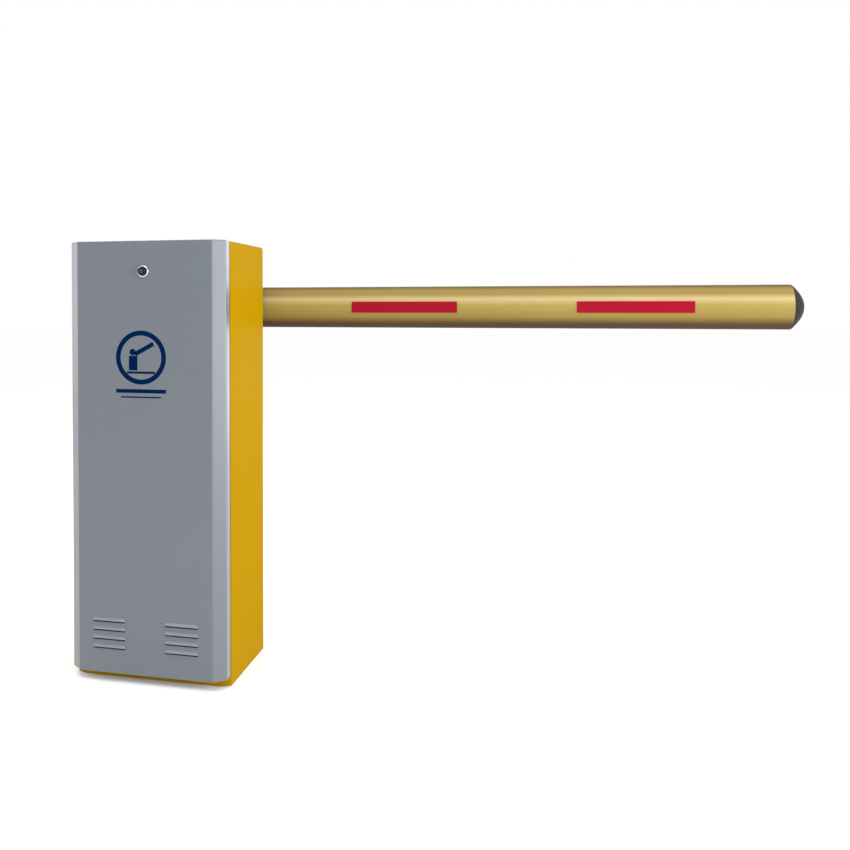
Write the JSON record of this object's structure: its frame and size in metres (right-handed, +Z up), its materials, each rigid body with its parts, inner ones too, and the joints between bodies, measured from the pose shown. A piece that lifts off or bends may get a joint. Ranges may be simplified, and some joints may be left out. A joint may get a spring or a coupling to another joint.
{
  "type": "parking barrier gate",
  "caption": "Sheet-metal barrier cabinet with a tray door and a round horizontal boom that a crank mechanism and balance springs swing up",
  "frame": {"origin": "centre of the cabinet's footprint at ground level, on the underside of the base plate", "axes": "+Z up, +X the way the closed boom points, -Y the way the door faces; the boom stands behind the cabinet at +Y"},
  "size_m": [1.59, 0.4159, 0.98],
  "materials": {
    "yellow_paint": "gloss yellow powder coat",
    "grey_paint": "satin grey powder coat",
    "gold_boom": "satin gold anodised look",
    "red_strip": "red reflective film",
    "black_rubber": "matt black rubber",
    "black_plastic": "black moulded plastic",
    "chrome": "polished chrome",
    "machined_steel": "turned and ground steel",
    "zinc_plated": "bright zinc plate",
    "frame_paint": "dark grey primer paint",
    "cast_iron": "painted iron casting",
    "cast_aluminium": "as-cast aluminium",
    "bronze": "bronze and copper",
    "pale_plastic": "pale grey moulded plastic",
    "red_plastic": "red moulded plastic"
  },
  "bodies": {
    "root": {"cabinet_shell": "yellow_paint", "door_seal": "black_rubber", "shaft_seal": "black_rubber", "base_plate": "zinc_plated", "ground_bolt_1": "zinc_plated", "ground_bolt_2": "zinc_plated", "ground_bolt_3": "zinc_plated", "ground_bolt_4": "zinc_plated", "side_frame_left": "frame_paint", "side_frame_right": "frame_paint", "bearing_beam_front": "frame_paint", "bearing_beam_rear": "frame_paint", "bearing_block_front": "cast_iron", "bearing_block_rear": "cast_iron", "bearing_front": "machined_steel", "bearing_rear": "machined_steel", "gearmotor_shelf": "frame_paint", "gearbox_housing": "cast_aluminium", "gearbox_cover": "cast_aluminium", "stop_bracket": "frame_paint", "rubber_stop_upper": "black_rubber", "rubber_stop_lower": "black_rubber", "motor_housing": "cast_iron", "motor_stator": "bronze", "motor_lid": "cast_iron", "spring_bracket": "frame_paint", "tension_bolt_front": "zinc_plated", "tension_bolt_rear": "zinc_plated", "balance_spring_front": "machined_steel", "balance_spring_rear": "machined_steel", "control_box": "pale_plastic", "control_box_lid": "pale_plastic", "control_board": "black_plastic"},
    "boom": {"main_shaft": "machined_steel", "boom_saddle": "frame_paint", "boom_u_bolt_inner": "zinc_plated", "boom_u_bolt_outer": "zinc_plated", "boom_tube": "gold_boom", "boom_end_cap": "black_plastic", "boom_tail_cap": "black_plastic", "red_strip_1": "red_strip", "red_strip_2": "red_strip", "rocker_lever": "frame_paint", "rocker_pin": "machined_steel", "spring_lever": "frame_paint", "spring_pin": "machined_steel"},
    "spring_hangers": {"spring_hanger_front": "zinc_plated", "spring_hanger_rear": "zinc_plated"},
    "crank": {"output_shaft": "machined_steel", "worm_wheel": "bronze", "crank_arm": "frame_paint", "crank_pin": "machined_steel"},
    "linkage_rod": {"connecting_rod": "zinc_plated"},
    "motor_worm": {"motor_rotor": "machined_steel", "hand_wheel": "red_plastic"},
    "door": {"door_panel": "grey_paint", "lock_case": "chrome", "lock_nut": "zinc_plated"},
    "lock": {"lock_barrel": "black_plastic", "lock_cam": "zinc_plated"}
  },
  "joints": [
    {"name": "boom_lift", "type": "hinge", "parent": "root", "child": "boom", "pos_m": [0, 0, 0.835], "axis": [0, -1, 0], "range_deg": [0, 90], "deforming": ["balance_spring_front", "balance_spring_rear"]},
    {"name": "hanger_swing", "type": "hinge", "parent": "boom", "child": "spring_hangers", "pos_m": [-0.07778, 0, 0.91278], "axis": [0, -1, 0], "range_deg": [-90, 0]},
    {"name": "crank_turn", "type": "hinge", "parent": "root", "child": "crank", "pos_m": [0, 0, 0.475], "axis": [0, -1, 0], "range_deg": [0, 90]},
    {"name": "rod_swing", "type": "hinge", "parent": "crank", "child": "linkage_rod", "pos_m": [0.0495, 0, 0.4255], "axis": [0, -1, 0], "range_deg": [-90, 0]},
    {"name": "worm_spin", "type": "hinge", "parent": "root", "child": "motor_worm", "pos_m": [0.046, -0.0225, 0.475], "axis": [0, 0, 1], "range_deg": [0, 3600]},
    {"name": "door_tilt", "type": "hinge", "parent": "root", "child": "door", "pos_m": [0, -0.119, 0.0215], "axis": [1, 0, 0], "range_deg": [0, 20]},
    {"name": "lock_turn", "type": "hinge", "parent": "door", "child": "lock", "pos_m": [0, -0.16, 0.913], "axis": [0, -1, 0], "range_deg": [0, 90]}
  ],
  "couplings": [
    {"joint": "crank_turn", "follows": "boom_lift", "ratio": 1},
    {"joint": "rod_swing", "follows": "boom_lift", "ratio": -1},
    {"joint": "hanger_swing", "follows": "boom_lift", "ratio": -1},
    {"joint": "worm_spin", "follows": "boom_lift", "ratio": 40}
  ]
}
